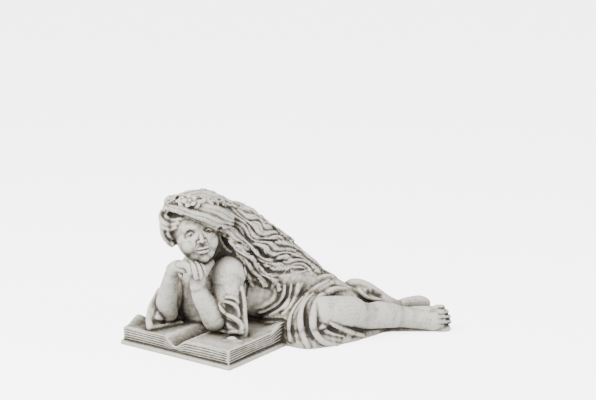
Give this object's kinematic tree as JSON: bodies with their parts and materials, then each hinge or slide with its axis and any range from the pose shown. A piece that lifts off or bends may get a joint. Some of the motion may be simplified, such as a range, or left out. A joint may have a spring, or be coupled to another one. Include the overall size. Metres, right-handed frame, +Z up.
{
  "type": "cast stone reclining girl with book figurine",
  "caption": "Cast stone figurine of a long-haired girl in a draped dress, lying on her front over an open book with her chin on her hands.",
  "frame": {"origin": "middle of the bounding box on the floor that the flat underside rests on", "axes": "+X from the book's outer corner to the toes, +Y away from the viewer, +Z up"},
  "size_m": [0.4558, 0.2218, 0.2147],
  "materials": {
    "cast_stone": "matt weathered cast stone, pale grey on the raised parts and darker in the hollows"
  },
  "bodies": {
    "root": {"figurine": "cast_stone"}
  },
  "joints": []
}
